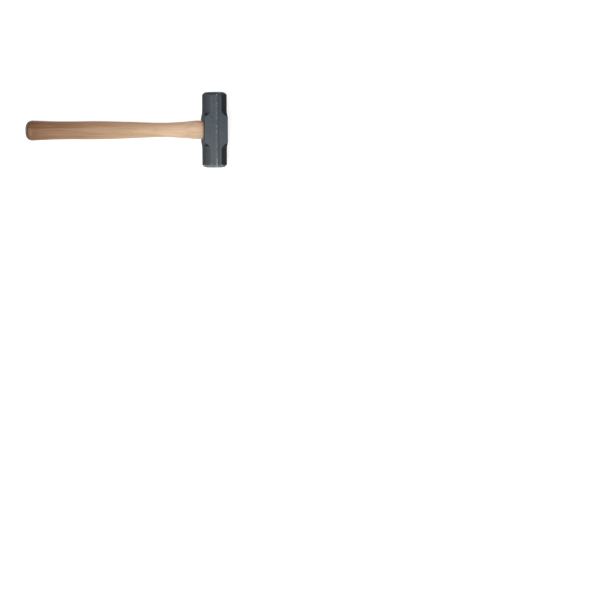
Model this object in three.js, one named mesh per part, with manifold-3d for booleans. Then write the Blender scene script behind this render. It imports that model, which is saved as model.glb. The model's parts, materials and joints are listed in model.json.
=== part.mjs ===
// Short-handled sledge hammer with two octagonal polls, lying on its side on a flat surface.
//
// Millimetres. The pieces are drawn with the middle of the eye at the origin: the handle runs
// along -X, the head along Y, and the head's cheeks face +Z and -Z. The group then tips the
// hammer until its lower cheek and the butt of its handle both touch the surface, Z = 0.

import * as THREE from "three";
import { mergeVertices } from "three/addons/utils/BufferGeometryUtils.js";
import Module from "manifold-3d";

const wasm = await Module();
wasm.setup();

// ---------------------------------------------------------------- driving dimensions

const OVERALL_LENGTH = 401; // butt of the handle to the head's far side: the 16 inch class
const GAP = 0.3; // between pieces that touch

const HEAD = {
  length: 150, // over both striking faces
  width: 46.6, // along the handle
  cornerThickness: 46.8, // across the cheeks, at the edges of the bar
  ridgeThickness: 48.4, // across the cheeks, at the trimmed parting line
  landWidth: 3.6, // of the flat that trimming leaves on the parting line
  chamferLeg: 12.6, // cut off each corner of a poll
  runOutStart: 24.5, // distance from the eye's middle where a corner begins to be cut away
  runOutEnd: 34.5, // where its chamfer would reach full depth without the fillet
  runOutFillet: 5, // length of the concave blend along the chamfer
};

const STRIKING_FACE = {
  radius: 20.2, // of the circle where the turned bevel begins
  flatRadius: 10, // of the flat in its middle
  crown: 1.2, // height of the flat above that circle
};

const EYE = {
  waist: { y: 17, z: 12 }, // half sizes of the oval in mid-head
  flareTowardsHandle: 0.9,
  flareAway: 1.8, // the wedged end of the eye is wider
  rimRadius: 1.3,
  tenonRecess: 0.4, // end grain lies this far below the head's far side
};

// Half height and half thickness of the handle, by distance from its butt.
const HANDLE_STATIONS = [
  { along: 13, y: 20.0, z: 14.8 },
  { along: 56, y: 18.2, z: 13.6 },
  { along: 96, y: 17.9, z: 13.2 },
  { along: 140, y: 18.2, z: 13.3 },
  { along: 207, y: 16.5, z: 12.7 },
  { along: 257, y: 14.7, z: 12.1 },
  { along: 285, y: 14.6, z: 12.0 },
  { along: 317, y: 16.4, z: 12.7 },
  { along: 343, y: 18.5, z: 13.6 },
];
const BUTT_ROUNDING = { length: 13, y: 13, z: 9 }; // elliptic, seen from above and from the side
const OVAL_SQUARENESS = 2.3; // 2 is an ellipse, more is squarer

const WOOD_WEDGE = { thick: 5, thin: 1.4, depth: 34 };
const STEEL_WEDGE = { thick: 3.4, thin: 1, depth: 25, width: 20, offset: 8.5, barbs: 3, barb: 0.35 };

const OVAL_SEGMENTS = 40;
const TURNED_SEGMENTS = 56;

// ---------------------------------------------------------------- values that follow

const HALF_WIDTH = HEAD.width / 2;
const HALF_LENGTH = HEAD.length / 2;
const HALF_CORNER = HEAD.cornerThickness / 2;
const HALF_RIDGE = HEAD.ridgeThickness / 2;
const HALF_LAND = HEAD.landWidth / 2;
const BUTT_X = HALF_WIDTH - OVERALL_LENGTH;
const TENON_END_X = HALF_WIDTH - EYE.tenonRecess;

// ---------------------------------------------------------------- solids

// A closed geometry as a manifold solid, for joining and cutting.
function solid(geometry) {
  const bare = geometry.clone();
  bare.deleteAttribute("normal");
  bare.deleteAttribute("uv");
  const merged = mergeVertices(bare, 1e-4);
  const mesh = new wasm.Mesh({
    numProp: 3,
    vertProperties: new Float32Array(merged.attributes.position.array),
    triVerts: new Uint32Array(merged.index.array),
  });
  return new wasm.Manifold(mesh);
}

// A manifold solid as a flat-shaded geometry.
function geometryOf(result) {
  const mesh = result.getMesh();
  const geometry = new THREE.BufferGeometry();
  geometry.setAttribute("position", new THREE.BufferAttribute(mesh.vertProperties, 3));
  geometry.setIndex(new THREE.BufferAttribute(mesh.triVerts, 1));
  const faceted = geometry.toNonIndexed();
  faceted.computeVertexNormals();
  return faceted;
}

// An outline in the XY plane, stretched evenly to both sides of it.
function slab(outline, thickness, segments = 8) {
  const settings = { depth: thickness, bevelEnabled: false, curveSegments: segments };
  return new THREE.ExtrudeGeometry(outline, settings).translate(0, 0, -thickness / 2);
}

function outlineThrough(points) {
  return new THREE.Shape(points.map(([x, y]) => new THREE.Vector2(x, y)));
}

// How far a quarter-round edge of this radius stands back, at a distance inside its end.
function roundedEdge(radius, inside) {
  const left = Math.max(0, radius - Math.max(0, inside));
  return radius - Math.sqrt(radius * radius - left * left);
}

// A closed bar along X whose sections are rounded ovals: a capped cylinder with its rings
// moved to the stations, which run from low x to high x.
function ovalBar(stations) {
  const rings = stations.length - 1;
  const bar = new THREE.CylinderGeometry(1, 1, rings, OVAL_SEGMENTS, rings);
  const position = bar.attributes.position;
  const squared = (value) => Math.sign(value) * Math.abs(value) ** (2 / OVAL_SQUARENESS);
  for (let i = 0; i < position.count; i += 1) {
    const station = stations[Math.round(rings / 2 - position.getY(i))];
    const y = squared(position.getX(i)) * station.y;
    const z = squared(position.getZ(i)) * station.z;
    position.setXYZ(i, station.x, y, z);
  }
  return bar;
}

// ---------------------------------------------------------------- head

// The forged bar: a square section whose cheeks rise to a trimmed parting line.
function forgedBar() {
  const section = outlineThrough([
    [HALF_WIDTH, -HALF_CORNER],
    [HALF_WIDTH, HALF_CORNER],
    [HALF_LAND, HALF_RIDGE],
    [-HALF_LAND, HALF_RIDGE],
    [-HALF_WIDTH, HALF_CORNER],
    [-HALF_WIDTH, -HALF_CORNER],
    [-HALF_LAND, -HALF_RIDGE],
    [HALF_LAND, -HALF_RIDGE],
  ]);
  return slab(section, HEAD.length).rotateX(Math.PI / 2);
}

// What the forging dies leave out beside one corner of one poll: flat along the chamfer,
// then a concave sweep out to the square corner of the eye section.
function cornerCut() {
  const floor = (HALF_WIDTH + HALF_CORNER - HEAD.chamferLeg) / Math.SQRT2;
  const corner = (HALF_WIDTH + HALF_CORNER) / Math.SQRT2;
  const outside = corner + 5;
  const slope = (corner - floor) / (HEAD.runOutEnd - HEAD.runOutStart);
  const blend = HEAD.runOutFillet;
  const start = HEAD.runOutStart - (outside - corner) / slope;
  const outline = new THREE.Shape();
  outline.moveTo(HALF_LENGTH + 5, floor);
  outline.lineTo(HALF_LENGTH + 5, outside);
  outline.lineTo(start, outside);
  outline.lineTo(HEAD.runOutEnd - blend, floor + slope * blend);
  outline.quadraticCurveTo(HEAD.runOutEnd, floor, HEAD.runOutEnd + blend, floor);
  const alongHead = new THREE.Vector3(0, 1, 0);
  const outwards = new THREE.Vector3(1, 0, 0);
  const across = new THREE.Vector3(0, 0, -1);
  const placed = new THREE.Matrix4().makeBasis(alongHead, outwards, across);
  return slab(outline, 2 * HEAD.chamferLeg).applyMatrix4(placed);
}

// The lathe's work: a crowned striking face and a 45 degree bevel at each end.
function turnedEnvelope() {
  const reach = HALF_WIDTH + HALF_CORNER - HEAD.chamferLeg;
  const rim = HALF_LENGTH - STRIKING_FACE.crown;
  const bevelDepth = reach - STRIKING_FACE.radius;
  const half = new THREE.Path();
  half.moveTo(reach, rim - bevelDepth);
  half.lineTo(STRIKING_FACE.radius, rim);
  const crownMiddle = (STRIKING_FACE.radius + STRIKING_FACE.flatRadius) / 2;
  half.quadraticCurveTo(crownMiddle, HALF_LENGTH, STRIKING_FACE.flatRadius, HALF_LENGTH);
  half.lineTo(0, HALF_LENGTH);
  const upper = half.getPoints(4);
  const lower = upper.map((point) => new THREE.Vector2(point.x, -point.y)).reverse();
  return new THREE.LatheGeometry([...lower, ...upper], TURNED_SEGMENTS);
}

// Half sizes of the eye at x, without its rounded rims: an hourglass.
function hourglassAt(x) {
  const flare = x < 0 ? EYE.flareTowardsHandle : EYE.flareAway;
  const widening = flare * (x / HALF_WIDTH) ** 2;
  return { y: EYE.waist.y + widening, z: EYE.waist.z + widening };
}

function eyeAt(x) {
  const { y, z } = hourglassAt(x);
  const rim = roundedEdge(EYE.rimRadius, HALF_WIDTH - Math.abs(x));
  return { y: y + rim, z: z + rim };
}

// Places along the eye where its section is given: close together at both rims.
function eyeSteps() {
  const rim = EYE.rimRadius;
  const rounded = [0, 0.08, 0.3, 0.6, 1].map((part) => HALF_WIDTH - rim * part);
  const inner = [0.55, 0.2].map((part) => HALF_WIDTH * part);
  const far = [...rounded, ...inner];
  return [...far.map((x) => -x), ...far.reverse()];
}

function eyeCut() {
  const through = eyeSteps().map((x) => ({ x, ...eyeAt(x) }));
  const first = through.at(0);
  const last = through.at(-1);
  return ovalBar([{ ...first, x: first.x - 2 }, ...through, { ...last, x: last.x + 2 }]);
}

function makeHead() {
  let body = solid(forgedBar());
  for (const poll of [0, Math.PI]) {
    for (let quarter = 0; quarter < 4; quarter += 1) {
      const cut = cornerCut().rotateX(poll).rotateY(((quarter + 0.5) * Math.PI) / 2);
      body = body.subtract(solid(cut));
    }
  }
  body = body.intersect(solid(turnedEnvelope())).subtract(solid(eyeCut()));
  const coating = { color: 0x59616a, roughness: 0.5, metalness: 0.35 };
  return named("head", geometryOf(body), new THREE.MeshStandardMaterial(coating));
}

// ---------------------------------------------------------------- wedges

// A wedge driven from the head's far side: an outline that tapers towards -X.
// Each barb is a step on both of its faces, cut into the taper, never outside it.
function taperedOutline({ thick, thin, depth, barbs = 0, barb = 0 }, clearance = 0) {
  const tip = TENON_END_X - depth - clearance;
  const halfAt = (part) => (thick + (thin - thick) * part) / 2 + clearance;
  const side = [[TENON_END_X + 2 * clearance, halfAt(0)]];
  for (let i = 1; i <= barbs; i += 1) {
    const part = (i * 0.8) / (barbs + 1);
    const x = TENON_END_X - depth * part;
    side.push([x, halfAt(part) - barb], [x - 0.4, halfAt(part)]);
  }
  side.push([tip, halfAt(1)]);
  const mirrored = side.map(([x, y]) => [x, -y]).reverse();
  return outlineThrough([...side, ...mirrored]);
}

function woodTaper(clearance) {
  const width = 3 * EYE.waist.y;
  return slab(taperedOutline(WOOD_WEDGE, clearance), width).rotateX(Math.PI / 2);
}

function steelTaper(side, clearance) {
  const shape = clearance ? { ...STEEL_WEDGE, barbs: 0 } : STEEL_WEDGE;
  const width = STEEL_WEDGE.width + 2 * clearance;
  return slab(taperedOutline(shape, clearance), width).translate(0, side * STEEL_WEDGE.offset, 0);
}

function withoutSteelSlots(body) {
  const slots = [1, -1].map((side) => solid(steelTaper(side, GAP)));
  return slots.reduce((rest, slot) => rest.subtract(slot), body);
}

function makeWoodWedge() {
  const inTenon = solid(woodTaper(0)).intersect(solid(ovalBar(tenonStations())));
  const wedge = geometryOf(withoutSteelSlots(inTenon));
  const wood = { color: 0xb98f68, roughness: 0.75, metalness: 0 };
  return named("wood_wedge", wedge, new THREE.MeshStandardMaterial(wood));
}

function makeSteelWedge(name, side) {
  const steel = { color: 0x8b8d90, roughness: 0.45, metalness: 0.9 };
  return named(name, steelTaper(side, 0), new THREE.MeshStandardMaterial(steel));
}

// ---------------------------------------------------------------- handle

// The tenon fills the eye, and leaves the rounded rims free.
function tenonStations() {
  const steps = eyeSteps().filter((x) => x < TENON_END_X);
  return [...steps, TENON_END_X].map((x) => {
    const { y, z } = hourglassAt(x);
    return { x, y: y - GAP, z: z - GAP };
  });
}

// The grip, from the rounded butt to the mouth of the eye.
function gripStations() {
  const [mouth] = tenonStations();
  const stations = HANDLE_STATIONS.map(({ along, y, z }) => ({ x: BUTT_X + along, y, z }));
  const points = [...stations, mouth].map(({ x, y, z }) => new THREE.Vector3(x, y, z));
  const flank = new THREE.CatmullRomCurve3(points, false, "centripetal");
  const [widest] = points;
  const butt = [0, 0.04, 0.14, 0.3, 0.55].map((part) => {
    const back = roundedEdge(1, part);
    const y = widest.y - BUTT_ROUNDING.y * back;
    const z = widest.z - BUTT_ROUNDING.z * back;
    return { x: BUTT_X + BUTT_ROUNDING.length * part, y, z };
  });
  return [...butt, ...flank.getSpacedPoints(28).slice(0, -1)];
}

function makeHandle() {
  const whole = solid(ovalBar([...gripStations(), ...tenonStations()]));
  const split = withoutSteelSlots(whole.subtract(solid(woodTaper(GAP))));
  const hickory = { color: 0xcda684, roughness: 0.45, metalness: 0 };
  return named("handle", geometryOf(split), new THREE.MeshStandardMaterial(hickory));
}

// ---------------------------------------------------------------- assembly

function named(name, geometry, material) {
  const mesh = new THREE.Mesh(geometry, material);
  mesh.name = name;
  return mesh;
}

// The slope of a hammer that rests on the edge of its lower parting line and on its handle.
function restTilt(handle) {
  const position = handle.geometry.attributes.position;
  let least = Infinity;
  for (let i = 0; i < position.count; i += 1) {
    const away = -HALF_LAND - position.getX(i);
    if (away > HEAD.width) {
      least = Math.min(least, Math.atan2(position.getZ(i) + HALF_RIDGE, away));
    }
  }
  return least;
}

const handle = makeHandle();
const hammer = new THREE.Group();
hammer.add(makeHead(), handle, makeWoodWedge());
hammer.add(makeSteelWedge("steel_wedge_upper", 1), makeSteelWedge("steel_wedge_lower", -1));
hammer.rotation.y = -restTilt(handle);

// The frame's origin is under the middle of the hammer, on the surface that it lies on.
const extent = new THREE.Box3().setFromObject(hammer, true);
hammer.position.set(
  -(extent.min.x + extent.max.x) / 2,
  -(extent.min.y + extent.max.y) / 2,
  -extent.min.z,
);

export default hammer;
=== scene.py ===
"""Short-handled sledge hammer with two octagonal polls, lying on a pale floor.

The pieces are shaped in the hammer's own axes, in millimetres: the middle of the eye is the
origin, the handle runs along -X, the head along Y, and the cheeks of the head face +Z and -Z.
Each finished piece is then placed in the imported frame, in metres.
"""

import json
import math

import bpy
import numpy as np
from mathutils import Matrix, Vector, noise


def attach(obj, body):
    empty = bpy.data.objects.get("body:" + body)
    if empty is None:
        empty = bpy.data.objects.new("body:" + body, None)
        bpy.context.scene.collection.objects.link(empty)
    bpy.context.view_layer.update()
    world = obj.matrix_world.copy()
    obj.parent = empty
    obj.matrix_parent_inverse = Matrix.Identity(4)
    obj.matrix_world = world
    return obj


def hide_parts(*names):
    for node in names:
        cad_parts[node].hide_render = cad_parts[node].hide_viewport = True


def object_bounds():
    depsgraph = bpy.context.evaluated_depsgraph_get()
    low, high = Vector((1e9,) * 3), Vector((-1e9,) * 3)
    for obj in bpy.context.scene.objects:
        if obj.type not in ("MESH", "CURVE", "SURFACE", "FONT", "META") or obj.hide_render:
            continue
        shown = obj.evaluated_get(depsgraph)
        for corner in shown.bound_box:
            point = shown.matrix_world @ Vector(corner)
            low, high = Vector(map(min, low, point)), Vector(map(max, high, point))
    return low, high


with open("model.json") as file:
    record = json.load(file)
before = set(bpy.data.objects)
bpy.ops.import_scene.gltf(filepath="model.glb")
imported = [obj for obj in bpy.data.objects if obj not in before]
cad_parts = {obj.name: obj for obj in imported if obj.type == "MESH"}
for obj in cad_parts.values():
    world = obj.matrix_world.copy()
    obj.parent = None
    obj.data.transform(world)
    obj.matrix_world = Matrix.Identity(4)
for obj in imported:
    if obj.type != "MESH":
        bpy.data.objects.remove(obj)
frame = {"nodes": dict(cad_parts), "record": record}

CAD_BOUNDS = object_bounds()

# ------------------------------------------------------------------ the hammer in the frame

MM = 0.001
MOUNTS = {mount["name"]: mount for mount in frame["record"]["mounts"]}
FACES = [Vector(MOUNTS["striking_face_" + which]["pos_m"]) for which in ("lower", "upper")]
HEAD_MIDDLE = (FACES[0] + FACES[1]) / 2
UP_CHEEK = -Vector(MOUNTS["cheek_below"]["axis"]).normalized()
ALONG_HEAD = (FACES[1] - FACES[0]).normalized()
ALONG_HANDLE = ALONG_HEAD.cross(UP_CHEEK)


def frame_matrix():
    """From the hammer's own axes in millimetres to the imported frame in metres."""
    axes = Matrix((ALONG_HANDLE, ALONG_HEAD, UP_CHEEK)).transposed().to_4x4()
    return Matrix.Translation(HEAD_MIDDLE) @ axes @ Matrix.Scale(MM, 4)


TO_FRAME = frame_matrix()


def own_axes(points):
    """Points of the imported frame, in metres, in the hammer's own axes, in millimetres."""
    back = np.array(TO_FRAME.inverted())
    return np.asarray(points) @ back[:3, :3].T + back[:3, 3]


# ------------------------------------------------------------------ driving dimensions, mm

HALF_LENGTH = (FACES[1] - FACES[0]).length / 2 / MM
HALF_WIDTH = 23.3  # of the head along the handle
HALF_CORNER = 23.4  # of the head across its cheeks, at the corners
HALF_RIDGE = 24.2  # and at the parting line
EDGE_BLEND = 1.4  # over which the sides and the cheeks round into each other
CHAMFER_LEG = 12.6
CHAMFER_BLEND = 1.3
RUN_OUT_START, RUN_OUT_END = 24.5, 34.5
RUN_OUT_BLEND = 5.0
RUN_OUT_MIDDLE = (RUN_OUT_START + RUN_OUT_END) / 2

LAND_HALF_WIDTH = 1.8  # of the trimmed flash on the parting line
LAND_HEIGHT = 0.25  # that the trimmed flash stands above the cheeks
LAND_OFFSET = 0.5  # of the trimmed flash from the middle, away from the handle

FACE_RADIUS, FACE_FLAT, FACE_CROWN = 20.2, 10.0, 1.2
FACE_EDGE_BLEND = 0.5  # between the crown and the bevel
FIRST_RING = 0.6  # radius of a striking face's innermost ring of vertices
WORN_RADIUS = 13.0  # of the bare middle of a striking face
TURNED_SKIN, EYE_SKIN = 0.12, 0.15  # within which a place belongs to the turned end, or the eye

EDGE_WEAR, RIM_WEAR = 1.6, 1.2  # widths of the wear beside the edges and the turned rims
ROLLING, PITTING = 0.09, 0.035  # depths of the forged skin's broad and fine unevenness
HAND_WORKED = 0.12  # depth of the handle's unevenness

# Painted highlights on rubbed spots of the head: their middles, and their sizes along each axis.
GLINTS = [
    ((1, 70, 24), (1.8, 2.6, 3)),
    ((7, 73, 20), (4.0, 3.0, 3)),
    ((1, -60, 24), (1.4, 4.0, 3)),
    ((1, -68, 24), (1.9, 5.0, 3)),
    ((1, -72, 21), (5.0, 3.5, 3)),
    ((12, -72, 19), (4.0, 2.5, 4)),
]

EYE_WAIST_Y, EYE_WAIST_Z = 17.0, 12.0
EYE_FLARE_IN, EYE_FLARE_OUT = 0.9, 1.8
EYE_RIM_RADIUS = 1.3
TENON_END = HALF_WIDTH - 0.4
LAST_GAP = 0.5  # that the tenon's other rings keep from its end
FIT = 0.04  # hairline between pieces that are driven together

BUTT_X = float(own_axes([MOUNTS["handle_butt"]["pos_m"]])[0][0])
OVERALL_LENGTH = HALF_WIDTH - BUTT_X
BUTT_LENGTH, BUTT_Y, BUTT_Z = 13.0, 13.0, 9.0  # of its elliptic rounding
OVAL = 2.3  # exponent of the handle's rounded oval sections
SLAB = 9.0  # exponent of the wedges' nearly square sections

WOOD_WEDGE = {"thick": 5.0, "thin": 1.4, "depth": 34.0}
WOOD_WEDGE_EDGE = 0.3  # that the wooden wedge stays inside the eye at its narrow edges
STEEL_WEDGE = {"thick": 3.4, "thin": 1.0, "depth": 25.0}
STEEL_HALF_WIDTH = 10.0
STEEL_OFFSET = 8.5
STEEL_BARBS, BARB_STEP = 3, 0.35
BARBED_PART = 0.8  # of the steel wedge's depth
SLOT_OPENING = 2.0  # that a cutter reaches past the surface it opens
CUTTER_SPREAD = 0.4  # that the eye's cutter is wider there
DRIVEN_TOP = 0.05  # within which a vertex belongs to a wedge's driven, battered end

# Vertices round each piece, and rings along it.
HEAD_AROUND, HEAD_ALONG, BEVEL_RINGS, FACE_RINGS = 288, 176, 14, 8
EYE_AROUND, EYE_ALONG = 128, 60
HANDLE_AROUND, BUTT_RINGS, GRIP_RINGS, TENON_RINGS = 112, 14, 190, 40
WEDGE_AROUND, SLOT_AROUND, WOOD_RINGS, STEEL_RINGS = 96, 64, 44, 90

# ------------------------------------------------------------------ numbers and meshes


def smooth_max(a, b, blend):
    """The larger of two fields, with their meeting rounded over a width of about blend."""
    near = np.maximum(blend - np.abs(a - b), 0) / blend
    return np.maximum(a, b) + near * near * blend / 4


def rising(value, low, high):
    """0 to 1 as value goes from low to high, which may be the smaller number."""
    return np.clip((value - low) / (high - low), 0, 1)


def rounded_edge(radius, inside):
    """How far a quarter-round edge stands back, at a distance inside its end."""
    left = np.clip(radius - inside, 0, radius)
    return radius - np.sqrt(radius * radius - left * left)


def wander(points, size, octaves=3, seed=0.0):
    """Smooth noise of about -1 to 1 at each point, with features of this size in mm."""
    shift = Vector((seed, 2.7 * seed, -1.3 * seed))
    scaled = np.asarray(points) / size
    return np.array([noise.fractal(Vector(p) + shift, 0.8, 2.1, octaves) for p in scaled])


def graded(low, high, count, ends=0.0):
    """Evenly spaced values, drawn towards both ends as ends goes from 0 to 1."""
    t = np.linspace(0, 1, count)
    eased = (1 - np.cos(np.pi * t)) / 2
    return low + (high - low) * ((1 - ends) * t + ends * eased)


def loft(name, rings):
    """A closed mesh through rings of equally many points, its two ends closed by fans."""
    rows, around = rings.shape[:2]
    first = np.arange(rows - 1)[:, None] * around + np.arange(around)
    turned = np.roll(first, -1, axis=1)
    quads = np.stack([first, turned, turned + around, first + around], -1).reshape(-1, 4)
    bottom, top = rows * around, rows * around + 1
    edge = np.arange(around)
    following = np.roll(edge, -1)
    last = (rows - 1) * around
    fans = [(bottom, b, a) for a, b in zip(edge, following)]
    fans += [(top, last + a, last + b) for a, b in zip(edge, following)]
    points = np.concatenate([rings.reshape(-1, 3), rings[[0, -1]].mean(axis=1)])
    mesh = bpy.data.meshes.new(name)
    mesh.from_pydata(points.tolist(), [], quads.tolist() + [tuple(map(int, f)) for f in fans])
    if signed_volume(mesh) < 0:
        mesh.flip_normals()
    piece = bpy.data.objects.new(name, mesh)
    bpy.context.scene.collection.objects.link(piece)
    return piece


def coordinates(mesh):
    flat = np.empty(len(mesh.vertices) * 3)
    mesh.vertices.foreach_get("co", flat)
    return flat.reshape(-1, 3)


def vertex_normals(mesh):
    flat = np.empty(len(mesh.vertices) * 3)
    mesh.vertex_normals.foreach_get("vector", flat)
    return flat.reshape(-1, 3)


def signed_volume(mesh):
    mesh.calc_loop_triangles()
    corners = np.empty(len(mesh.loop_triangles) * 3, np.int32)
    mesh.loop_triangles.foreach_get("vertices", corners)
    a, b, c = coordinates(mesh)[corners].reshape(-1, 3, 3).transpose(1, 0, 2)
    return np.einsum("ij,ij->i", a, np.cross(b, c)).sum() / 6


def cut(piece, *cutters):
    """Cuts the cutters out of the piece for good, and deletes them."""
    for cutter in cutters:
        step = piece.modifiers.new("cut", "BOOLEAN")
        step.operation = "DIFFERENCE"
        step.solver = "EXACT"
        step.object = cutter
    graph = bpy.context.evaluated_depsgraph_get()
    result = bpy.data.meshes.new_from_object(piece.evaluated_get(graph))
    piece.modifiers.clear()
    piece.data = result
    for cutter in cutters:
        bpy.data.objects.remove(cutter)


def push(piece, amount):
    """Moves each vertex along its normal by an amount in mm."""
    moved = coordinates(piece.data) + vertex_normals(piece.data) * np.asarray(amount)[:, None]
    piece.data.vertices.foreach_set("co", moved.ravel())
    piece.data.update()


def paint(piece, **layers):
    """Stores one number per vertex under each name, for the materials to read."""
    for layer, values in layers.items():
        attribute = piece.data.attributes.new(layer, "FLOAT", "POINT")
        attribute.data.foreach_set("value", np.ascontiguousarray(values, np.float32))


def place(piece, node, slot, material, sharp_degrees=40):
    """Puts a finished piece in the frame, in the stead of its CAD node."""
    mesh = piece.data
    own = mesh.attributes.new("place", "FLOAT_VECTOR", "POINT")
    own.data.foreach_set("vector", coordinates(mesh).astype(np.float32).ravel())
    mesh.transform(TO_FRAME)
    mesh.shade_smooth()
    mesh.set_sharp_from_angle(angle=math.radians(sharp_degrees))
    mesh.materials.clear()
    mesh.materials.append(material)
    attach(piece, "root")
    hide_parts(node)


# ------------------------------------------------------------------ head


def corner_floor(y):
    """How far along x + z a corner of the head reaches, at a distance y from its middle."""
    slope = CHAMFER_LEG / (RUN_OUT_END - RUN_OUT_START)
    rise = smooth_max(RUN_OUT_END - np.abs(y), 0.0, RUN_OUT_BLEND)
    return HALF_WIDTH + HALF_CORNER - CHAMFER_LEG + slope * rise


def forged_fields(points):
    """Distances outside the bar's sides, its cheeks and its chamfers, negative inside."""
    x, y, z = np.moveaxis(np.abs(points), -1, 0)
    cheek_tilt = math.atan2(HALF_RIDGE - LAND_HEIGHT - HALF_CORNER, HALF_WIDTH - LAND_HALF_WIDTH)
    sides = x - HALF_WIDTH
    sloping = (z - HALF_CORNER) * math.cos(cheek_tilt) + (x - HALF_WIDTH) * math.sin(cheek_tilt)
    cheeks = np.maximum(sloping, z - HALF_RIDGE + LAND_HEIGHT)
    chamfers = (x + z - corner_floor(y)) / math.sqrt(2)
    return sides, cheeks, chamfers


def forged_field(points):
    sides, cheeks, chamfers = forged_fields(points)
    return smooth_max(smooth_max(sides, cheeks, EDGE_BLEND), chamfers, CHAMFER_BLEND)


def turned_height(radius):
    """Distance of the lathe-turned end from the head's middle: flat, crown, then bevel."""
    crown = FACE_CROWN * rising(radius, FACE_FLAT, FACE_RADIUS) ** 2
    bevel = smooth_max(radius - FACE_RADIUS, 0.0, FACE_EDGE_BLEND)
    return HALF_LENGTH - crown - bevel


def outermost(inside, farthest=60.0, steps=26):
    """The largest radius, to a hair, at which inside(radius) is still negative."""
    low = np.zeros_like(inside(0.0))
    high = np.full_like(low, farthest)
    for _ in range(steps):
        middle = (low + high) / 2
        within = inside(middle) < 0
        low, high = np.where(within, middle, low), np.where(within, high, middle)
    return low


def polar(radius, angle, y):
    """Points at this radius from the line through both striking faces, and at this y."""
    radius, angle, y = np.broadcast_arrays(radius, angle, y)
    return np.stack([radius * np.cos(angle), y, radius * np.sin(angle)], -1)


def end_rings(angle):
    """Rings from the middle of the upper striking face to the outer edge of its bevel."""

    def on_end(radius):
        return polar(radius, angle, turned_height(radius))

    rim = outermost(lambda radius: forged_field(on_end(radius)))
    flat = np.linspace(FIRST_RING, FACE_FLAT, FACE_RINGS)
    crown = np.linspace(FACE_FLAT, FACE_RADIUS, FACE_RINGS)[1:]
    face = np.repeat(np.concatenate([flat, crown])[:, None], angle.size, axis=1)
    outwards = graded(0, 1, BEVEL_RINGS, ends=0.8)[1:, None]
    return on_end(np.concatenate([face, FACE_RADIUS + (rim - FACE_RADIUS) * outwards]))


def head_rings():
    """Rings round the head's length, from one striking face to the other."""
    angle = np.linspace(0, 2 * np.pi, HEAD_AROUND, endpoint=False)[None]
    end = end_rings(angle)
    reach = end[-1, :, 1]
    side_y = reach * graded(1, -1, HEAD_ALONG, ends=0.35)[1:-1, None]
    side_radius = outermost(lambda radius: forged_field(polar(radius, angle, side_y)))
    side = polar(side_radius, angle, side_y)
    rings = np.concatenate([end, side, end[::-1] * [1, -1, 1]])
    for edge in (len(end) - 1, len(end) + len(side)):
        rings[edge] = (2 * rings[edge] + rings[edge - 1] + rings[edge + 1]) / 4
    return rings


def hourglass(x):
    """Half height and half thickness of the eye at x, without its rounded rims."""
    flare = np.where(x < 0, EYE_FLARE_IN, EYE_FLARE_OUT)
    wider = flare * (x / HALF_WIDTH) ** 2
    return EYE_WAIST_Y + wider, EYE_WAIST_Z + wider


def eye_half_sizes(x):
    """Half height and half thickness of the eye at x, with its rounded rims."""
    y, z = hourglass(x)
    rim = rounded_edge(EYE_RIM_RADIUS, HALF_WIDTH - np.abs(x))
    return y + rim, z + rim


def oval_rings(x, half_y, half_z, exponent, around, caps=0):
    """Rounded rectangular rings along X. Caps adds that many smaller rings at each end."""
    angle = np.linspace(0, 2 * np.pi, around, endpoint=False)
    side_y = np.sign(np.cos(angle)) * np.abs(np.cos(angle)) ** (2 / exponent)
    side_z = np.sign(np.sin(angle)) * np.abs(np.sin(angle)) ** (2 / exponent)
    x, half_y, half_z = (np.broadcast_to(v, np.shape(x)) for v in (x, half_y, half_z))
    y, z = half_y[:, None] * side_y, half_z[:, None] * side_z
    rings = np.stack([np.broadcast_to(x[:, None], y.shape), y, z], -1)
    if caps:
        shrink = np.linspace(0.08, 1, caps, endpoint=False)[:, None, None]
        scale = 1 + (shrink - 1) * np.array([0, 1, 1])
        rings = np.concatenate([rings[0] * scale, rings, rings[-1] * scale[::-1]])
    return rings


def eye_cutter():
    """The hole through the head, reaching past it and widening there at both ends."""
    x = graded(-HALF_WIDTH, HALF_WIDTH, EYE_ALONG, ends=0.9)
    y, z = eye_half_sizes(x)
    x = np.pad(x, 1, "edge") + np.pad(0 * x, 1, constant_values=(-SLOT_OPENING, SLOT_OPENING))
    y, z = (np.pad(v, 1, "edge") + np.pad(0 * v, 1, constant_values=CUTTER_SPREAD) for v in (y, z))
    return loft("eye", oval_rings(x, y, z, OVAL, EYE_AROUND))


def dents(points, keep, count, size, depth, seed):
    """Shallow round dents at seeded places on the part of a surface where keep is true."""
    rng = np.random.default_rng(seed)
    result = np.zeros(len(points))
    places = points[rng.choice(np.flatnonzero(keep), count)]
    for centre in places:
        radius = rng.uniform(*size)
        squared = ((points - centre) ** 2).sum(axis=1) / radius**2
        result -= rng.uniform(*depth) * np.exp(-2.5 * squared)
    return result


def face_shares(*fields):
    """For each surface of the bar, 1 where it is the outermost and 0 where it is cut away."""
    shares = []
    for i, field in enumerate(fields):
        others = np.maximum(*(other for j, other in enumerate(fields) if j != i))
        shares.append(rising(field - others, -0.75, 0.75))
    return shares


def turned_share(points):
    """1 on the turned ends of the head, 0 on its forged length."""
    radius = np.hypot(points[:, 0], points[:, 2])
    return (np.abs(points[:, 1]) > turned_height(radius) - TURNED_SKIN).astype(float)


def inside_eye(points):
    """True on the walls of the eye and on its rounded rims."""
    half_y, half_z = eye_half_sizes(np.clip(points[:, 0], -HALF_WIDTH, HALF_WIDTH))
    part_y = np.abs(points[:, 1]) / (half_y + EYE_SKIN)
    part_z = np.abs(points[:, 2]) / (half_z + EYE_SKIN)
    return part_y**OVAL + part_z**OVAL < 1


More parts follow.
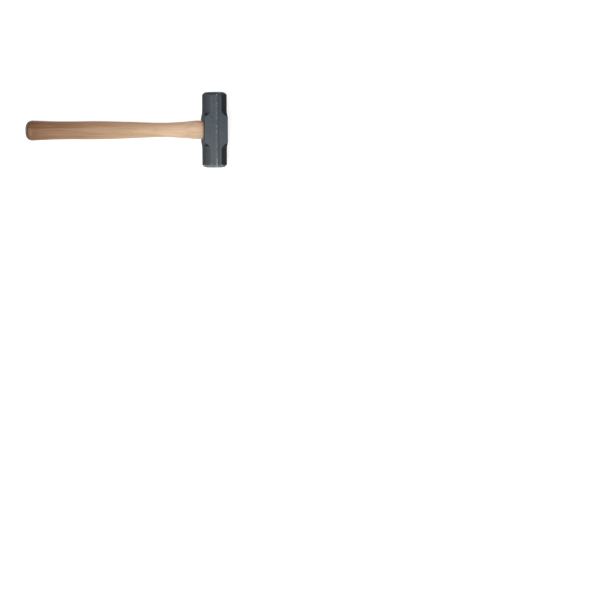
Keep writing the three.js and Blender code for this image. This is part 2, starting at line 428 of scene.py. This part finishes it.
def edge_wear(points, fields):
    """1 along the forged edges and round the rims of the turned ends, fading beside them."""
    ranked = np.sort(np.stack(fields), axis=0)
    from_edge = ranked[2] - ranked[1]
    radius = np.hypot(points[:, 0], points[:, 2])
    from_rim = np.abs(np.abs(points[:, 1]) - turned_height(radius))
    return np.maximum(rising(from_edge, EDGE_WEAR, 0), rising(from_rim, RIM_WEAR, 0))


def trimmed_land(points):
    """1 on the flash that was trimmed off along the two parting lines, with ragged edges."""
    half_width = LAND_HALF_WIDTH + 0.35 * wander(points * [0, 1, 1], 4.0, seed=3.1)
    aside = np.abs(points[:, 0] - LAND_OFFSET) - half_width
    return rising(aside, 0.25, -0.25) * (np.abs(points[:, 2]) > HALF_RIDGE - 1.5)


def soot_share(points, fields, turned):
    """Painted shade at each place: in the run-outs, on the sides, on the chamfers (most away from
    the handle), on the cheeks away from the handle, beside the land, and on the upper end.
    """
    x, y, z = np.abs(points).T
    side, cheek, chamfer = face_shares(*fields)
    poll = rising(y, 28, 34)
    outer = rising(x, HALF_WIDTH - CHAMFER_LEG, HALF_WIDTH)
    away = rising(points[:, 0], 0, 12)
    lower_left = rising(points[:, 0], 0, -12) * rising(points[:, 1], -32, -40)
    # painted shade on the sides and chamfers, most away from the handle, and a little on the cheeks
    # there
    on_sides = side * (0.70 + 0.16 * poll)
    on_chamfers = chamfer * (0.28 + 0.40 * outer * (1 - away) + 0.48 * away + 0.08 * lower_left)
    on_cheeks = cheek * (0.1 * away + 0.05 * lower_left)
    # painted shade in the concave run-outs
    in_run_outs = 0.95 * chamfer * np.exp(-(((y - RUN_OUT_MIDDLE - 1) / 4.5) ** 2))
    # painted shade on the flank of the trimmed land away from the handle
    from_land = (points[:, 0] - LAND_OFFSET - 4.2) / 1.1
    beside_land = 0.5 * np.exp(-(from_land**2)) * (z > HALF_CORNER)
    along = np.max([on_sides + on_chamfers + on_cheeks, in_run_outs, beside_land], axis=0)
    # painted shade on the upper turned end
    on_upper_end = 0.6 * (points[:, 1] > 0)
    return np.where(turned > 0, on_upper_end, along * ~inside_eye(points))


def glints(points):
    """Painted highlights on rubbed spots at the ends of the ridge and on the rim beside it."""
    result = np.zeros(len(points))
    for middle, size in GLINTS:
        spot = np.exp(-(((points - middle) / size) ** 2).sum(axis=1))
        result = np.maximum(result, spot)
    return result


def forging_relief(points, forged, turned, wear):
    """Rolling of the skin, knocks on it, nicks along its edges, and strikes on the ends."""
    rolling = ROLLING * wander(points, 16.0) + PITTING * wander(points, 3.5, seed=5.2)
    skin, edges = forged > 0, (wear > 0.6) & (forged > 0)
    knocks = dents(points, skin, count=150, size=(0.8, 2.6), depth=(0.05, 0.2), seed=7)
    nicks = dents(points, edges, count=60, size=(0.5, 1.2), depth=(0.08, 0.25), seed=11)
    strikes = dents(points, turned > 0, count=26, size=(0.6, 2.2), depth=(0.02, 0.08), seed=19)
    return forged * (rolling + knocks + nicks) + turned * strikes


def make_head(material):
    head = loft("head_forging", head_rings())
    cut(head, eye_cutter())
    points = coordinates(head.data)
    fields = forged_fields(points)
    radius = np.hypot(points[:, 0], points[:, 2])
    turned = turned_share(points)
    forged = (1 - turned) * ~inside_eye(points)
    wear = edge_wear(points, fields)
    land = trimmed_land(points)
    push(head, forging_relief(points, forged, turned, wear) + forged * LAND_HEIGHT * land)
    paint(
        head,
        wear=wear * forged,
        land=land * forged,
        # painted shade, for the material to darken the coat with
        soot=soot_share(points, fields, turned),
        face=turned * rising(radius, WORN_RADIUS + 2, WORN_RADIUS - 2),
        bevel=turned * (radius > FACE_RADIUS),
        # painted highlights on rubbed spots
        glint=glints(points),
    )
    place(head, "head", "head_steel", material)


# ------------------------------------------------------------------ handle and wedges


def grip_outline():
    """Places along the grip, with the half height and half thickness of its CAD rings."""
    node = frame["nodes"]["handle"]
    points = own_axes(coordinates(node.data))
    butt = points[:, 0].min()
    rings = {}
    for x, y, z in points:
        if x < -HALF_WIDTH - 1:
            rings.setdefault(round(x, 1), []).append((abs(y), abs(z)))
    places = sorted(x for x in rings if x > butt + BUTT_LENGTH - 0.2)
    sizes = np.array([np.max(rings[x], axis=0) for x in places])
    return butt, np.array(places), sizes[:, 0], sizes[:, 1]


def through(x, known_x, known):
    """A smooth curve through known values."""
    slope = np.gradient(known, known_x)
    i = np.clip(np.searchsorted(known_x, x) - 1, 0, len(known_x) - 2)
    step = known_x[i + 1] - known_x[i]
    t = (x - known_x[i]) / step
    start = (1 + 2 * t) * (1 - t) ** 2 * known[i] + t * (1 - t) ** 2 * step * slope[i]
    end = t * t * (3 - 2 * t) * known[i + 1] + t * t * (t - 1) * step * slope[i + 1]
    return start + end


def tenon_half_sizes(x):
    """The tenon follows the eye's hourglass but not its rounded rims."""
    y, z = hourglass(x)
    return y - FIT, z - FIT


def handle_rings():
    """Rings from the butt's flat end, round its rounding, along the grip and through the eye."""
    butt, places, known_y, known_z = grip_outline()
    mouth_y, mouth_z = tenon_half_sizes(np.array([-HALF_WIDTH]))
    places = np.append(places, -HALF_WIDTH)
    known_y, known_z = np.append(known_y, mouth_y), np.append(known_z, mouth_z)
    part = 1 - np.cos(np.linspace(0, np.pi / 2, BUTT_RINGS))
    butt_x = butt + BUTT_LENGTH * part
    back = rounded_edge(1.0, part)
    grip_x = np.linspace(butt + BUTT_LENGTH, -HALF_WIDTH, GRIP_RINGS)[1:-1]
    tenon_x = graded(-HALF_WIDTH, HALF_WIDTH, TENON_RINGS, ends=0.8)
    tenon_x = np.append(tenon_x[tenon_x < TENON_END - LAST_GAP], TENON_END)
    tenon_y, tenon_z = tenon_half_sizes(tenon_x)
    inner_x = np.maximum(grip_x, places[0])
    grip_y, grip_z = (through(inner_x, places, known) for known in (known_y, known_z))
    x = np.concatenate([butt_x, grip_x, tenon_x])
    y = np.concatenate([known_y[0] - BUTT_Y * back, grip_y, tenon_y])
    z = np.concatenate([known_z[0] - BUTT_Z * back, grip_z, tenon_z])
    return oval_rings(x, y, z, OVAL, HANDLE_AROUND, caps=9)


def wedge_sizes(x, wedge, barbs=0):
    """Half thickness of a driven wedge at x, with barbs that step back from its taper."""
    part = (TENON_END - x) / wedge["depth"]
    half = (wedge["thick"] + (wedge["thin"] - wedge["thick"]) * part) / 2
    if barbs:
        phase = part * (barbs + 1) / BARBED_PART
        bite = phase % 1 * (phase < barbs + 1) * (phase > 1)
        half = half - BARB_STEP * bite
    return half


def wedge_x(wedge, count):
    return graded(TENON_END - wedge["depth"], TENON_END, count, ends=0.5)


def wood_wedge_rings(grow=0.0):
    """The wooden wedge, or, grown by a fit, the cutter of its kerf."""
    x = wedge_x(WOOD_WEDGE, WOOD_RINGS)
    half_y, _ = hourglass(x)
    thick = wedge_sizes(x, WOOD_WEDGE)
    if grow:
        x[0], x[-1] = x[0] - grow, x[-1] + SLOT_OPENING
        return oval_rings(x, half_y + SLOT_OPENING, thick + grow, SLAB, WEDGE_AROUND)
    half_y = half_y - 2 * FIT - WOOD_WEDGE_EDGE
    return oval_rings(x, half_y, thick, SLAB, WEDGE_AROUND, caps=8)


def steel_wedge_rings(side, grow=0.0):
    """A barbed steel wedge, or, grown by a fit, the cutter of its plain slot."""
    x = wedge_x(STEEL_WEDGE, STEEL_RINGS)
    if grow:
        half_y = wedge_sizes(x, STEEL_WEDGE) + grow
        x[0], x[-1] = x[0] - grow, x[-1] + SLOT_OPENING
        rings = oval_rings(x, half_y, STEEL_HALF_WIDTH + grow, SLAB, SLOT_AROUND)
    else:
        half_y = wedge_sizes(x, STEEL_WEDGE, STEEL_BARBS)
        rings = oval_rings(x, half_y, STEEL_HALF_WIDTH, SLAB, WEDGE_AROUND, caps=8)
    return rings + [0, side * STEEL_OFFSET, 0]


def steel_slots():
    return [loft("slot", steel_wedge_rings(side, grow=FIT)) for side in (1, -1)]


def butt_end_and_rim_shade(piece):
    """1 on the end of the butt and round its edge where it faces back: the end grain is dark, and
    the rounding gets painted shade.
    """
    normals = vertex_normals(piece.data)
    facing_back = -normals[:, 0] * (1 - 0.75 * np.abs(normals[:, 2]))
    near_butt = rising(coordinates(piece.data)[:, 0], BUTT_X + 16, BUTT_X + 13)
    return np.clip(facing_back, 0, 1) * near_butt


def make_handle(material):
    handle = loft("handle_hickory", handle_rings())
    cut(handle, loft("kerf", wood_wedge_rings(grow=FIT)), *steel_slots())
    points = coordinates(handle.data)
    outside = rising(points[:, 0], -HALF_WIDTH, -HALF_WIDTH - 6)
    uneven = wander(points * [0.3, 1, 1], 14.0, octaves=2)
    push(handle, outside * (HAND_WORKED * uneven))
    # dark end grain and painted shade round the butt's rounding
    paint(handle, rim=butt_end_and_rim_shade(handle))
    place(handle, "handle", "handle_wood", material)


def make_wood_wedge(material):
    wedge = loft("wooden_wedge", wood_wedge_rings())
    cut(wedge, *steel_slots())
    points = coordinates(wedge.data)
    top = points[:, 0] > TENON_END - DRIVEN_TOP
    push(wedge, np.where(top, 0.15 * wander(points, 1.6) - 0.12, 0.0))
    place(wedge, "wood_wedge", "wedge_wood", material)


def make_steel_wedge(name, node, side, material):
    wedge = loft(name, steel_wedge_rings(side))
    points = coordinates(wedge.data)
    top = points[:, 0] > TENON_END - DRIVEN_TOP
    push(wedge, np.where(top, 0.12 * wander(points, 2.2, seed=side) - 0.1, 0.0))
    place(wedge, node, "wedge_steel", material, sharp_degrees=30)


# ------------------------------------------------------------------ materials


class Shader:
    """A material under construction. Each method adds a node and returns its output."""

    def __init__(self, name):
        self.material = bpy.data.materials.new(name)
        self.material.use_nodes = True
        self.tree = self.material.node_tree
        self.tree.nodes.clear()

    def add(self, kind, inputs, output=0, **settings):
        node = self.tree.nodes.new("ShaderNode" + kind)
        for setting, value in settings.items():
            setattr(node, setting, value)
        for socket, value in inputs.items():
            if isinstance(value, bpy.types.NodeSocket):
                self.tree.links.new(value, node.inputs[socket])
            else:
                node.inputs[socket].default_value = value
        return node.outputs[output]

    def layer(self, name):
        return self.add("Attribute", {}, output="Fac", attribute_name=name)

    def place(self):
        return self.add("Attribute", {}, output="Vector", attribute_name="place")

    def axes(self, vector):
        return [self.add("SeparateXYZ", {0: vector}, output=axis) for axis in "XYZ"]

    def math(self, operation, *values):
        return self.add("Math", dict(enumerate(values)), operation=operation)

    def scaled(self, vector, factors):
        return self.add("VectorMath", {0: vector, 1: factors}, operation="MULTIPLY")

    def noise(self, vector, scale, detail=3.0, roughness=0.5):
        inputs = {"Vector": vector, "Scale": scale, "Detail": detail, "Roughness": roughness}
        return self.add("TexNoise", inputs)

    def fade(self, value, low, high):
        """0 to 1 as value goes from low to high, which may be the smaller number."""
        inputs = {"Value": value, "From Min": low, "From Max": high}
        return self.add("MapRange", inputs, interpolation_type="SMOOTHSTEP")

    def between(self, value, low, high):
        """low to high as value goes from 0 to 1."""
        return self.add("MapRange", {"Value": value, "To Min": low, "To Max": high})

    def mix(self, factor, a, b, blend="MIX"):
        inputs = {0: factor, 6: a, 7: b}
        return self.add("Mix", inputs, output=2, data_type="RGBA", blend_type=blend)

    def ramp(self, factor, *stops):
        ramp = self.add("ValToRGB", {0: factor})
        elements = ramp.node.color_ramp.elements
        while len(elements) < len(stops):
            elements.new(0.5)
        for element, (position, colour) in zip(elements, stops):
            element.position = position
            element.color = colour
        return ramp

    def bump(self, height, depth_mm, below=None):
        """Relief of this depth in mm where height goes from 0 to 1."""
        inputs = {"Height": height, "Distance": depth_mm * MM}
        if below is not None:
            inputs["Normal"] = below
        return self.add("Bump", inputs)

    def product(self, first, *others):
        for other in others:
            first = self.math("MULTIPLY", first, other)
        return first

    def ragged(self, value, noise, amount):
        """A value whose contours follow a noise."""
        return self.math("MULTIPLY_ADD", self.math("SUBTRACT", noise, 0.5), amount, value)

    def length(self, *parts):
        """Length of the vector with these two or three parts."""
        vector = self.add("CombineXYZ", dict(enumerate(parts)))
        return self.add("VectorMath", {0: vector}, output="Value", operation="LENGTH")

    def float_mix(self, factor, a, b):
        return self.add("Mix", {0: factor, 2: a, 3: b}, data_type="FLOAT")

    def vector_mix(self, factor, a, b):
        return self.add("Mix", {0: factor, 4: a, 5: b}, output=1, data_type="VECTOR")

    def finish(self, inputs):
        surface = self.add("BsdfPrincipled", inputs)
        output = self.tree.nodes.new("ShaderNodeOutputMaterial")
        self.tree.links.new(surface, output.inputs["Surface"])
        return self.material


def grey(value):
    return (value, value, value, 1)


# painted light: the lighter colour that the coat takes towards the lower end
LOWER_END_LIGHT = (0.115, 0.128, 0.132, 1)
# painted shade: the dark colour laid over the coat where the shade layer says
PAINTED_SHADE_COLOUR = (0.010, 0.012, 0.015, 1)
# rubbed steel with a painted highlight on it
RUBBED_STEEL_AND_GLINT = (0.27, 0.30, 0.31, 1)
DULL_STEEL = (0.17, 0.175, 0.18, 1)


def coat_colour(s, place, mottle, soot):
    """Blue-grey coating, blotchy, with painted light making it lighter towards the lower end, and
    painted shade darkening it where its layer says.
    """
    y = s.axes(place)[1]
    blotches = s.noise(place, 0.06, detail=4, roughness=0.6)
    coat = s.ramp(mottle, (0.3, (0.042, 0.052, 0.060, 1)), (0.7, (0.066, 0.079, 0.088, 1)))
    tint = s.ramp(blotches, (0.35, (0.88, 1.04, 1.00, 1)), (0.65, (1.08, 0.97, 1.06, 1)))
    coat = s.mix(1.0, coat, tint, "MULTIPLY")
    # painted light: the coat made lighter towards the lower end
    lower_end_light = s.product(s.fade(s.ragged(y, blotches, 60.0), 45, -60), 0.35)
    return s.mix(soot, s.mix(lower_end_light, coat, LOWER_END_LIGHT), PAINTED_SHADE_COLOUR)


def rub_through(s, place, speckle, colour):
    """Steel that shows at the edges, on the trimmed parting line and on the bevels, more there
    towards the lower end as painted highlight, and painted highlights in spots.
    """
    x, y, _ = s.axes(place)
    steel = s.ramp(speckle, (0.3, (0.13, 0.14, 0.145, 1)), (0.75, (0.24, 0.25, 0.26, 1)))
    edges = s.fade(s.ragged(s.layer("wear"), speckle, 1.4), 0.80, 1.10)
    land = s.product(s.layer("land"), s.fade(s.noise(place, 0.20, detail=4), 0.42, 0.60))
    bevel = s.ragged(s.layer("bevel"), s.noise(place, 0.25, detail=5), 1.6)
    # painted highlight: worn bevel steel made more towards the lower end and less beside the handle
    painted_light_below = s.between(s.fade(y, 70, -70), 0.05, 0.55)
    less_near_handle = s.between(s.fade(x, -16, 0), 0.7, 1.0)
    bevel_wear_and_highlight = s.product(s.fade(bevel, 0.6, 1.2), painted_light_below, less_near_handle)
    for share in (s.product(edges, 0.25), s.product(land, 0.40), bevel_wear_and_highlight):
        colour = s.mix(share, colour, steel)
    # painted highlights on rubbed spots, from the glint layer
    glint = s.fade(s.ragged(s.layer("glint"), s.noise(place, 0.5, detail=3), 0.9), 0.45, 0.80)
    return s.mix(s.product(glint, 0.55), colour, RUBBED_STEEL_AND_GLINT)


def bare_face(s, place):
    """Where a striking face is bare, its turning marks, and its colour."""
    x, _, z = s.axes(place)
    patches = s.noise(place, 0.16, detail=5, roughness=0.6)
    bare = s.fade(s.ragged(s.layer("face"), patches, 1.5), 0.35, 0.75)
    circles = s.noise(s.add("CombineXYZ", {0: s.length(x, z)}), 3.0, detail=4)
    bright = s.ramp(circles, (0.35, (0.24, 0.25, 0.26, 1)), (0.7, (0.40, 0.41, 0.42, 1)))
    return bare, circles, s.mix(s.fade(patches, 0.62, 0.40), bright, DULL_STEEL)


def head_material():
    """Dark matt coating over a forged skin, rubbed at the edges, worn bare on the ends, with
    painted shade and painted highlights.
    """
    s = Shader("coated_forging")
    place = s.place()
    mottle = s.noise(place, 0.35, detail=5, roughness=0.65)
    speckle = s.noise(place, 2.2, detail=3, roughness=0.7)
    # painted shade from its layer, with ragged edges
    soot = s.ragged(s.layer("soot"), mottle, 0.25)
    coat = rub_through(s, place, speckle, coat_colour(s, place, mottle, soot))
    bare, circles, bare_colour = bare_face(s, place)
    skin = s.bump(s.noise(place, 0.35, detail=6, roughness=0.65), 0.30)
    skin = s.bump(speckle, 0.05, below=skin)
    matt, polished = s.between(mottle, 0.50, 0.72), s.between(circles, 0.24, 0.42)
    return s.finish({
        "Base Color": s.mix(bare, coat, bare_colour),
        "Metallic": bare,
        "Roughness": s.float_mix(bare, matt, polished),
        "Normal": s.vector_mix(bare, skin, s.bump(circles, 0.03)),
        "Specular IOR Level": s.between(soot, 0.16, 0.0),
    })


PITH = (-12.0, -78.0)  # Y and Z of the tree's middle, beside the stick
RING_WIDTH = 2.9
KNOT = (BUTT_X + 256.0, -1.0)  # its X and Y

HEARTWOOD_AND_SHADE = (0.86, 0.79, 0.74, 1)
SEAM = (0.55, 0.48, 0.42, 1)
FIBRE_SHADE = (0.85, 0.78, 0.70, 1)
PORE = (0.13, 0.07, 0.04, 1)
KNOT_RING = (0.24, 0.12, 0.08, 1)
BUTT_DARKENING_COLOUR = (0.70, 0.52, 0.38, 1)
DARK_END_AND_SHADE = (0.035, 0.024, 0.018, 1)
OIL_STAIN = (0.52, 0.24, 0.15, 1)
MOUTH_GRIME_AND_SHADE = (0.12, 0.065, 0.035, 1)


def growth_rings(s, place):
    """Growth rings round a pith beside the stick, cut nearly straight along it."""
    x, y, z = s.axes(place)
    drift = s.noise(s.scaled(place, (0.004, 0.03, 0.03)), 1.0, detail=2)
    from_pith = s.length(s.math("SUBTRACT", y, PITH[0]), s.math("SUBTRACT", z, PITH[1]))
    from_pith = s.ragged(from_pith, drift, 12.0)
    from_pith = s.math("MULTIPLY_ADD", x, 0.02, from_pith)
    ring = s.math("FRACT", s.math("DIVIDE", from_pith, RING_WIDTH))
    shades = ((0.0, 0.5), (0.12, 0.68), (0.4, 0.96), (0.8, 1.0), (1.0, 0.5))
    return s.ramp(ring, *((part, grey(shade)) for part, shade in shades))


def stick_colour(s, place, streak):
    """Sapwood that use has darkened towards the butt, with brown heartwood along the upper edge
    that also stands in for painted shade on the handle's upper side.
    """
    x, y, _ = s.axes(place)
    along = s.math("SUBTRACT", x, BUTT_X)
    part = s.math("DIVIDE", along, OVERALL_LENGTH)
    sap = s.ramp(
        part,
        (0.03, (0.185, 0.094, 0.049, 1)),
        (0.07, (0.230, 0.128, 0.072, 1)),
        (0.22, (0.298, 0.182, 0.108, 1)),
        (0.45, (0.415, 0.280, 0.178, 1)),
        (0.68, (0.560, 0.400, 0.272, 1)),
        (0.90, (0.545, 0.400, 0.280, 1)),
    )
    upper_edge = s.ragged(y, streak, 9.0)
    fading = s.ramp(part, (0.24, grey(1.0)), (0.34, grey(0.75)), (0.62, grey(0.6)))
    # heartwood along the upper edge, also painted shade on the upper side, kept along the whole
    # length
    heartwood_and_upper_shade = s.product(s.fade(upper_edge, 3.0, 7.5), fading)
    colour = s.mix(heartwood_and_upper_shade, sap, HEARTWOOD_AND_SHADE, "MULTIPLY")
    from_seam = s.math("ABSOLUTE", s.math("SUBTRACT", upper_edge, 6.0))
    seam = s.product(s.fade(from_seam, 2.6, 0.4), s.fade(along, 150, 90), 0.45)
    return s.mix(seam, colour, SEAM, "MULTIPLY")


def grained(s, colour, streak, figure, fibre, pores):
    """The colour with yellow and pink streaks, growth rings, fibres and pores."""
    yellow, neutral, pink = (0.80, 0.78, 0.64, 1), (1, 1, 1, 1), (1.14, 1.05, 1.10, 1)
    tint = s.ramp(streak, (0.30, yellow), (0.50, neutral), (0.68, pink))
    colour = s.mix(1.0, colour, tint, "MULTIPLY")
    colour = s.mix(0.22, colour, figure, "MULTIPLY")
    colour = s.mix(s.between(fibre, 0.0, 0.5), colour, FIBRE_SHADE, "MULTIPLY")
    return s.mix(s.product(pores, 0.35), colour, PORE)


def with_knot(s, place, colour):
    """A pin knot on the upper side of the neck."""
    x, y, z = s.axes(place)
    aside = s.math("DIVIDE", s.math("SUBTRACT", x, KNOT[0]), 1.4)
    from_knot = s.length(aside, s.math("SUBTRACT", y, KNOT[1]))
    from_knot = s.ragged(from_knot, s.noise(place, 0.45, detail=3), 5.0)
    from_ring = s.math("ABSOLUTE", s.math("SUBTRACT", from_knot, 2.2))
    ring = s.product(s.fade(from_ring, 1.4, 0.2), s.fade(z, 4, 8), 0.24)
    return s.mix(ring, colour, KNOT_RING)


def marks_of_use_and_shade(s, place, streak, fibre, colour):
    """A butt darker towards its end, dark end grain with painted shade round its rim, an oil stain
    at the neck, and grime with painted shade in the eye's mouth.
    """
    x, y, _ = s.axes(place)
    # darker towards the butt end
    butt_darkening = s.product(s.fade(x, BUTT_X + 14, BUTT_X + 5), 0.55)
    colour = s.mix(butt_darkening, colour, BUTT_DARKENING_COLOUR, "MULTIPLY")
    # dark end grain, and painted shade on the butt's rounding where it faces back
    rim = s.fade(s.ragged(s.layer("rim"), fibre, 0.2), 0.20, 0.36)
    colour = s.mix(s.product(rim, 0.85), colour, DARK_END_AND_SHADE)
    stain = s.fade(s.ragged(x, streak, 6.0), -HALF_WIDTH - 12, -HALF_WIDTH - 5)
    colour = s.mix(s.product(stain, s.fade(y, -16, 12), 0.35), colour, OIL_STAIN)
    # grime and painted shade where the handle enters the eye
    mouth_grime_and_shade = s.fade(s.ragged(x, fibre, 2.0), -HALF_WIDTH - 4.5, -HALF_WIDTH)
    return s.mix(s.product(mouth_grime_and_shade, 0.75), colour, MOUTH_GRIME_AND_SHADE)


def hickory_material():
    """Straight-grained hickory under a thin lacquer, darkened by use, with painted shade round the
    butt, along the upper edge and in the eye's mouth.
    """
    s = Shader("lacquered_hickory")
    place = s.place()
    figure = growth_rings(s, place)
    fibre = s.noise(s.scaled(place, (0.02, 0.9, 0.9)), 1.0, detail=5, roughness=0.6)
    streak = s.noise(s.scaled(place, (0.014, 0.24, 0.24)), 1.0, detail=4, roughness=0.6)
    pores = s.fade(s.noise(s.scaled(place, (0.10, 2.6, 2.6)), 1.0, detail=2), 0.60, 0.72)
    colour = grained(s, stick_colour(s, place, streak), streak, figure, fibre, pores)
    colour = with_knot(s, place, colour)
    relief = s.bump(figure, 0.03)
    relief = s.bump(fibre, 0.04, below=relief)
    return s.finish({
        "Base Color": marks_of_use_and_shade(s, place, streak, fibre, colour),
        "Roughness": s.between(fibre, 0.38, 0.56),
        "Normal": s.bump(s.math("SUBTRACT", 1.0, pores), 0.05, below=relief),
        "Specular IOR Level": 0.25,
        "Coat Weight": 0.03,
        "Coat Roughness": 0.3,
    })


def wedge_wood_material():
    """Bare split hardwood."""
    s = Shader("wedge_hardwood")
    place = s.place()
    fibre = s.noise(s.scaled(place, (0.08, 1.4, 1.4)), 1.0, detail=5, roughness=0.6)
    pores = s.fade(s.noise(place, 2.4, detail=3), 0.55, 0.68)
    colour = s.ramp(fibre, (0.3, (0.30, 0.18, 0.10, 1)), (0.7, (0.50, 0.34, 0.21, 1)))
    colour = s.mix(s.product(pores, 0.5), colour, (0.12, 0.07, 0.04, 1))
    relief = s.bump(fibre, 0.12)
    rough = s.between(fibre, 0.6, 0.85)
    return s.finish({"Base Color": colour, "Roughness": rough, "Normal": relief})


def wedge_steel_material():
    """Mill-finish mild steel, drawn along the wedge."""
    s = Shader("wedge_mild_steel")
    place = s.place()
    mottle = s.noise(place, 0.8, detail=5, roughness=0.65)
    drawn = s.noise(s.scaled(place, (0.15, 3.0, 3.0)), 1.0, detail=4)
    colour = s.ramp(mottle, (0.3, (0.24, 0.23, 0.22, 1)), (0.7, (0.46, 0.46, 0.46, 1)))
    rough = s.between(mottle, 0.34, 0.6)
    relief = s.bump(drawn, 0.05)
    return s.finish({"Base Color": colour, "Metallic": 1.0, "Roughness": rough, "Normal": relief})


# ------------------------------------------------------------------ stage, light and camera

FLOOR_HALF = 6.0
FLOOR_GLOW = 0.75  # so that the pale floor comes out even, whatever shadows fall on it
KEY = {"tilt": 38, "azimuth": 205, "spread": 45, "strength": 3.4}
OVERHEAD = {"tilt": 10, "azimuth": 230, "spread": 110, "strength": 0.9}
WORLD_STRENGTH = 0.2

CAMERA_DISTANCE = 20.0
SENSOR_WIDTH = 36.0  # mm
VIEW_WIDTH = 1.169  # of the picture, at the hammer, in metres
FROM_UPRIGHT = math.radians(9.4)  # lean of the view from the cheek's normal, towards the butt
ROLL = math.radians(0.25)
HEAD_IN_VIEW = (-0.1595, 0.3273)  # of the head's middle, right of and above the picture's middle


def make_floor():
    mesh = bpy.data.meshes.new("floor")
    ground = CAD_BOUNDS[0].z
    corners = [(-1, -1), (1, -1), (1, 1), (-1, 1)]
    points = [(FLOOR_HALF * x, FLOOR_HALF * y, ground) for x, y in corners]
    mesh.from_pydata(points, [], [(0, 1, 2, 3)])
    floor = bpy.data.objects.new("floor", mesh)
    bpy.context.scene.collection.objects.link(floor)
    s = Shader("pale_floor")
    glow = {"Emission Color": grey(1.0), "Emission Strength": FLOOR_GLOW}
    mesh.materials.append(s.finish({"Base Color": grey(0.5), "Roughness": 0.9, **glow}))


def make_sun(name, tilt, azimuth, spread, strength):
    """A broad, even studio light, this far from overhead and this far round from +X, in degrees."""
    light = bpy.data.lights.new(name, "SUN")
    light.energy = strength
    light.angle = math.radians(spread)
    lamp = bpy.data.objects.new(name, light)
    turn = Matrix.Rotation(math.radians(azimuth), 4, "Z")
    lamp.matrix_world = turn @ Matrix.Rotation(math.radians(tilt), 4, "Y")
    bpy.context.scene.collection.objects.link(lamp)


def make_world():
    world = bpy.data.worlds.new("studio")
    world.use_nodes = True
    background = world.node_tree.nodes["Background"]
    background.inputs["Color"].default_value = grey(1.0)
    background.inputs["Strength"].default_value = WORLD_STRENGTH
    bpy.context.scene.world = world


def make_camera():
    """A distant camera that leans towards the handle and sees the hammer in its upper left."""
    lean = UP_CHEEK.copy()
    lean.rotate(Matrix.Rotation(-FROM_UPRIGHT, 3, ALONG_HEAD))
    up = ALONG_HEAD.copy()
    up.rotate(Matrix.Rotation(-ROLL, 3, lean))
    right = up.cross(lean)
    middle = HEAD_MIDDLE - right * HEAD_IN_VIEW[0] - up * HEAD_IN_VIEW[1]
    eye = HEAD_MIDDLE + lean * CAMERA_DISTANCE
    back = (eye - middle).normalized()
    right = up.cross(back).normalized()
    turn = Matrix((right, back.cross(right), back)).transposed().to_4x4()
    data = bpy.data.cameras.new("camera")
    data.sensor_width = SENSOR_WIDTH
    data.lens = SENSOR_WIDTH * (eye - middle).length / VIEW_WIDTH
    data.clip_end = 3 * CAMERA_DISTANCE
    camera = bpy.data.objects.new("camera", data)
    camera.matrix_world = Matrix.Translation(eye) @ turn
    bpy.context.scene.collection.objects.link(camera)
    bpy.context.scene.camera = camera


def main():
    make_camera()
    make_floor()
    make_world()
    make_sun("key", **KEY)
    make_sun("overhead", **OVERHEAD)
    bpy.context.scene.view_settings.view_transform = "Standard"
    steel = wedge_steel_material()
    make_head(head_material())
    make_handle(hickory_material())
    make_wood_wedge(wedge_wood_material())
    make_steel_wedge("steel_wedge_a", "steel_wedge_upper", 1, steel)
    make_steel_wedge("steel_wedge_b", "steel_wedge_lower", -1, steel)


main()
